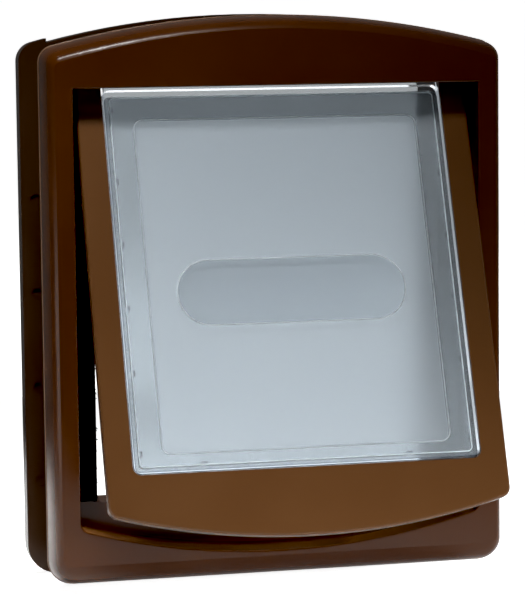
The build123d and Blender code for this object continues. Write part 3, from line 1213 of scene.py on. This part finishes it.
@dataclass
class SillLock(Assembly):
    """Bolt and guide under the sill, with grip ridges on the bolt's thumb tab."""

    tab_top: float = 35.4
    first: float = 13.6
    pitch: float = 1.3
    count: int = 3
    half: float = 6.6
    radius: float = 0.4
    end_way: float = 0.98
    end_rings: int = 7
    segments: int = 16

    def ridges(self) -> Shell:
        """Round-ended bars along X, sunk to half their height into the tab's top.

        A bar's radius falls over its last radius of length, as the root of one less the square of the way.

        Returns:
            All bars as one surface.
        """
        end = np.linspace(0, self.end_way, self.end_rings)
        way = np.concatenate([-end[::-1], end])[:, None]
        straight = np.repeat([-1.0, 1.0], self.end_rings)[:, None] * (self.half - self.radius)
        size = self.radius * np.sqrt(1 - way ** 2)
        angle = circle(self.segments)
        y, z = size * np.cos(angle), self.tab_top + size * np.sin(angle)
        bar = Shell.capped(np.stack(np.broadcast_arrays(straight + way * self.radius, y, z), -1))
        rows = self.first + self.pitch * np.arange(self.count)
        return bar.repeated(rows[:, None] * [[0.0, 1.0, 0.0]])

    def build(self) -> None:
        """Dress the lock and add its ridges."""
        # the lock takes the darker brown with its painted shade
        brown = self.finishes.shaded_inner_brown
        self.dress("lock_bolt", "lock_guide", finish=brown)
        self.add("thumb_ridges", self.ridges(), Body.LOCK, Slot.BROWN, finish=brown)


@dataclass
class Fixings(Assembly):
    """Threaded fixing screws and the domed caps over their heads."""

    across: float = 60.0
    low: float = 9.0
    high: float = 223.4
    tip: float = -10.0
    point: float = 0.08
    taper: float = 3.0
    runout: float = 36.0
    neck: float = 42.6
    core: float = 1.55
    crest: float = 2.0
    pitch: float = 1.75
    tent_half: float = 0.25
    head: float = 44.6
    head_radius: float = 3.8
    head_edge: Span = (0.2, 0.3)
    crown: float = 47.0
    dome: float = 1.4
    face_middle: float = 0.02
    slot_half: float = 0.5
    slot_reach: float = 2.0
    slot_depth: float = 1.3
    slot_wall: float = 0.2
    slot_end: float = 0.5
    shank_rings: int = 300
    face_rings: int = 30
    segments: int = 36
    cap_profile: tuple[Span, ...] = ((0.2, 47.4), (4.15, 47.4), (4.15, 48.6), (4.9, 48.6), (4.9, 49.15),
                                     (3.6, 49.5), (0.2, 49.6))
    cap_round: float = 0.3
    cap_segments: int = 60
    notch: float = 0.9
    notch_turn: float = 0.2
    notch_start: float = 4.2
    notch_run: float = 0.7

    def places(self) -> np.ndarray:
        """Middles of the four screws."""
        return np.array([(x, 0.0, z) for x in (-self.across, self.across) for z in (self.low, self.high)])

    def slot_arm(self, beside: np.ndarray, along: np.ndarray) -> np.ndarray:
        """One inside an arm of the cross recess, falling over its walls and towards its ends.

        Args:
            beside: Places across the arm.
            along: Places along the arm.

        Returns:
            Share of the recess's depth at each place.
        """
        walls = np.clip((self.slot_half - np.abs(beside)) / self.slot_wall + 0.5, 0, 1)
        return walls * np.clip((self.slot_reach - np.abs(along)) / self.slot_end, 0, 1)

    def screw(self) -> Shell:
        """One screw about Y: a threaded shank, a neck and a pan head with a cross recess.

        The thread stands on the core as a tent over half a pitch, where the depth in pitches less the angle
        in turns leaves a remainder near a half, and it dies out over a pitch at its end. The shank narrows
        to its tip over the taper. The head's face is a low dome, less the recess where either arm of the
        cross covers it.

        Returns:
            The closed screw.
        """
        angle = circle(self.segments)
        depth = np.linspace(self.tip, self.neck, self.shank_rings)[:, None]
        remainder = (depth / self.pitch - angle / (2 * np.pi)) % 1.0
        tent = np.clip(1 - np.abs(remainder - 0.5) / self.tent_half, 0, 1)
        tent = tent * np.clip((self.runout - depth) / self.pitch, 0, 1)
        shank = self.core + (self.crest - self.core) * tent
        shank = shank * np.clip((depth - self.tip) / self.taper, self.point, 1)
        inset, lift = self.head_edge
        under = [[self.core, self.head], [self.head_radius - inset, self.head],
                 [self.head_radius, self.head + lift]]
        share = np.linspace(1, self.face_middle, self.face_rings)[:, None]
        face = np.concatenate([share * self.head_radius, self.crown - self.dome * share ** 2], 1)
        head = np.concatenate([under, face])
        radius = np.concatenate([shank, np.repeat(head[:, :1], self.segments, 1)])
        x, z = radius * np.cos(angle), radius * np.sin(angle)
        y = np.repeat(np.concatenate([depth, head[:, 1:]]), self.segments, 1)
        recess = np.maximum(self.slot_arm(x, z), self.slot_arm(z, x))[-self.face_rings:]
        y[-self.face_rings:] -= self.slot_depth * recess
        return Shell.capped(np.stack([x, y, z], -1))

    def cap(self) -> Shell:
        """One cap about Y: a turned profile with rounded corners and a notch at its foot to prise it off.

        The notch sets the rim in by a bell curve of the angle from straight down.

        Returns:
            The closed cap.
        """
        rings = rounded_stack(turned(np.array(self.cap_profile), self.cap_segments), self.cap_round)
        span = np.hypot(rings[..., 0], rings[..., 2])
        away = np.arctan2(rings[..., 0], -rings[..., 2]) / self.notch_turn
        rim = np.clip((span - self.notch_start) / self.notch_run, 0, 1)
        narrow = 1 - self.notch * np.exp(-away ** 2) * rim / span
        return Shell.capped(rings * np.stack([narrow, np.ones_like(span), narrow], -1))

    def build(self) -> None:
        """Build the screws and their caps."""
        screws, caps = (one.repeated(self.places()) for one in (self.screw(), self.cap()))
        self.add("threaded_screws", screws, Body.FRAME, Slot.STEEL, "fixing_screws")
        # the caps take the darker brown with its painted shade
        self.add("domed_caps", caps, Body.FRAME, Slot.BROWN, "screw_caps", self.finishes.shaded_inner_brown)


# Studio


@dataclass(frozen=True)
class Softbox:
    """Rectangular light that looks at the middle of the object.

    The shift moves it along its own width, and the aim lifts it together with the point that it looks at.
    """

    name: str
    azimuth: float
    elevation: float
    distance: float
    size: Span
    power: float
    shift: float = 0.0
    spread: float = 180.0
    mirrored: bool = True
    lit: bool = True
    aim: float = 0.0


@dataclass
class Studio:
    """Floor, backdrop, lights and the camera at the photograph's angle.

    A fade gives the distances where it starts and ends, and then its values there.
    """

    azimuth: float = -14.058
    elevation: float = 5.88
    roll: float = -0.675
    distance: float = 1179.132
    target: tuple[float, float, float] = (-4.039, 0.0, 117.318)
    focus_px: float = 2766.507
    image_height: float = 600.0
    sensor: float = 36.0
    nearest: float = 0.01
    floor_radius: float = 0.6
    floor_middle: float = 0.001
    floor_grid: tuple[int, int] = (24, 65)
    floor_gap: float = 0.0002
    floor_rough: float = 0.7
    floor_pale: Fade = (0.26, 0.5, 0.9, 0.03)
    floor_seen: Fade = (0.2, 0.4, 0.92, 1.0)
    floor_through: float = 0.9
    floor_glow: float = 0.25
    sweep_half: float = 3.0
    sweep_reach: float = 2.5
    sweep_bend: float = 0.8
    sweep_wall: float = 1.6
    sweep_grid: tuple[int, int] = (30, 13)
    sweep_gap: float = 0.002
    sweep_white: Colour = (0.9, 0.9, 0.9, 1.0)
    sweep_glow: Fade = (0.3, 1.3, 0.9, 0.45)
    room_glow: float = 0.012
    room_mirror: float = 0.1
    black_level: float = 0.009
    lights: tuple[Softbox, ...] = (
        Softbox("key", 0, 66, 1.3, (0.85, 0.2), 3.0, shift=-0.5, spread=43, mirrored=False),
        Softbox("glint", 0, 59, 1.3, (0.10, 0.04), 2.8, shift=-0.09, lit=False),
        Softbox("long_glint", 0, 59, 1.3, (0.13, 0.05), 0.75, shift=0.025, lit=False),
        Softbox("right_low", 38, 10, 0.36, (0.26, 0.03), 0.06, spread=44, mirrored=False, aim=-0.1),
        Softbox("left_card", -62, -8, 0.42, (0.4, 0.12), 0.22, lit=False),
        Softbox("rear_fill", 128, 12, 1.6, (0.9, 0.6), 46, mirrored=False),
    )

    @staticmethod
    def direction(azimuth: float, elevation: float) -> Vector:
        """Unit vector from the object towards an azimuth and elevation in degrees."""
        a, e = math.radians(azimuth), math.radians(elevation)
        return Vector((math.sin(a) * math.cos(e), -math.cos(a) * math.cos(e), math.sin(e)))

    def camera(self) -> None:
        """Place the camera: its back looks away from the target, and its right leans by the roll."""
        back = self.direction(self.azimuth, self.elevation)
        level = Vector((math.cos(math.radians(self.azimuth)), math.sin(math.radians(self.azimuth)), 0.0))
        right = Matrix.Rotation(math.radians(self.roll), 3, back) @ level
        turn = Matrix((right, back.cross(right), back)).transposed().to_4x4()
        spot = Vector(to_row(np.array(self.target))) + back * self.distance * MM
        data = bpy.data.cameras.new("camera")
        data.sensor_width = self.sensor
        data.lens = self.focus_px * self.sensor / self.image_height
        data.clip_start = self.nearest
        camera = bpy.data.objects.new("camera", data)
        camera.matrix_world = Matrix.Translation(spot) @ turn
        bpy.context.scene.collection.objects.link(camera)
        bpy.context.scene.camera = camera

    def light(self, box: Softbox) -> None:
        """Add a softbox.

        Args:
            box: The light to add.
        """
        data = bpy.data.lights.new(box.name, "AREA")
        data.shape = "RECTANGLE"
        data.size, data.size_y = box.size
        data.energy = box.power
        data.spread = math.radians(box.spread)
        lamp = bpy.data.objects.new(box.name, data)
        away = self.direction(box.azimuth, box.elevation)
        turn = away.to_track_quat("Z", "Y")
        shift = turn @ Vector((box.shift, 0.0, 0.0))
        lamp.location = Vector((0.0, 0.0, box.aim)) + away * box.distance + shift
        lamp.rotation_euler = turn.to_euler()
        lamp.visible_glossy = box.mirrored
        lamp.visible_diffuse = box.lit
        bpy.context.scene.collection.objects.link(lamp)

    def sheet(self, name: str, points: np.ndarray, material: bpy.types.Material) -> bpy.types.Object:
        """Put an open grid of points into the scene as stage.

        Args:
            name: Name of the sheet.
            points: Grid as (rows, columns, 3), in metres.
            material: Its finish.

        Returns:
            The sheet.
        """
        faces = grid_faces(*points.shape[:2], wrap_columns=False)
        obj = new_object(name, points.reshape(-1, 3), faces.tolist(), material)
        return obj

    def floor(self, level: float) -> None:
        """Pale floor whose bounce fades with distance: a disc of rings, each at its share of the radius.

        Args:
            level: Height of the floor.
        """
        material, graph, shader = new_material("pale_floor")
        away = graph.add("VectorMath", {0: graph.place()}, operation="LENGTH").outputs["Value"]
        path = graph.add("LightPath").outputs
        pale = graph.remap(away, *self.floor_pale)
        glows = [graph.math("MULTIPLY", path["Is Camera Ray"], graph.remap(away, *self.floor_seen)),
                 graph.math("MULTIPLY", path["Is Transmission Ray"], self.floor_through),
                 graph.math("MULTIPLY", pale, self.floor_glow)]
        graph.wire(shader, {
            "Base Color": graph.add("CombineColor", {0: pale, 1: pale, 2: pale}).outputs[0],
            "Roughness": self.floor_rough,
            "Specular IOR Level": 0.0,
            "Emission Color": WHITE,
            "Emission Strength": graph.fold("MAXIMUM", glows),
        })
        rings, spokes = self.floor_grid
        radius = np.linspace(self.floor_middle, self.floor_radius, rings)[:, None]
        angle = np.linspace(0, 2 * np.pi, spokes)
        disc = np.broadcast_arrays(radius * np.cos(angle), radius * np.sin(angle), level)
        self.sheet("floor", np.stack(disc, -1), material)

    def sweep(self, level: float) -> None:
        """White sweep that only the camera and clear parts see.

        A flat run goes back to a quarter circle, and that one to an upright wall. The glow fades to the
        back.

        Args:
            level: Height of the flat run.
        """
        material, graph, shader = new_material("white_sweep")
        depth = graph.add("SeparateXYZ", {0: graph.place()}).outputs[1]
        seen = graph.add("LightPath").outputs["Is Camera Ray"]
        graph.wire(shader, {
            "Base Color": self.sweep_white,
            "Emission Color": WHITE,
            "Emission Strength": graph.math("MAXIMUM", seen, graph.remap(depth, *self.sweep_glow)),
        })
        rows, columns = self.sweep_grid
        t = np.linspace(0, 1, rows)[:, None]
        bend = self.sweep_bend
        flat, turn, wall = (2 * t - 1) * self.sweep_reach, t * np.pi / 2, bend + self.sweep_wall * t
        y = np.concatenate([flat, self.sweep_reach + bend * np.sin(turn), 0 * t + self.sweep_reach + bend])
        z = np.concatenate([0 * t, bend - bend * np.cos(turn), wall])
        x = np.linspace(-self.sweep_half, self.sweep_half, columns)
        sweep = self.sheet("sweep", np.stack(np.broadcast_arrays(x, y, z + level), -1), material)
        sweep.visible_glossy = False
        sweep.visible_diffuse = False

    def world(self) -> None:
        """Dim room for reflections that shows pale to the camera, and the picture's black level."""
        world = bpy.data.worlds.new("room")
        world.use_nodes = True
        graph = Graph(world.node_tree)
        path = graph.add("LightPath").outputs
        mirrored = graph.math("MULTIPLY", path["Is Glossy Ray"], self.room_mirror)
        seen = graph.math("MAXIMUM", path["Is Camera Ray"], self.room_glow)
        strength = graph.math("MAXIMUM", seen, mirrored)
        shade = graph.add("Background", {"Color": WHITE, "Strength": strength})
        graph.add("OutputWorld", {"Surface": shade.outputs[0]})
        bpy.context.scene.world = world
        view = bpy.context.scene.view_settings
        view.view_transform = "Standard"
        view.use_curve_mapping = True
        view.curve_mapping.black_level = (self.black_level,) * 3
        view.curve_mapping.update()

    def build(self) -> None:
        """Build the whole studio."""
        self.camera()
        for box in self.lights:
            self.light(box)
        level = CAD_BOX[0][2] - self.floor_gap
        self.floor(level)
        self.sweep(level - self.sweep_gap)
        self.world()


def main() -> None:
    """Build the cat flap part by part, then the studio."""
    logging.basicConfig(level=logging.INFO, format="%(message)s")
    finishes = Finishes()
    for assembly in (Frames, Flap, Hinge, Closer, DraughtStrips, SillLock, Fixings):
        assembly(finishes).build()
    Studio().build()


if __name__ == "__main__":
    main()
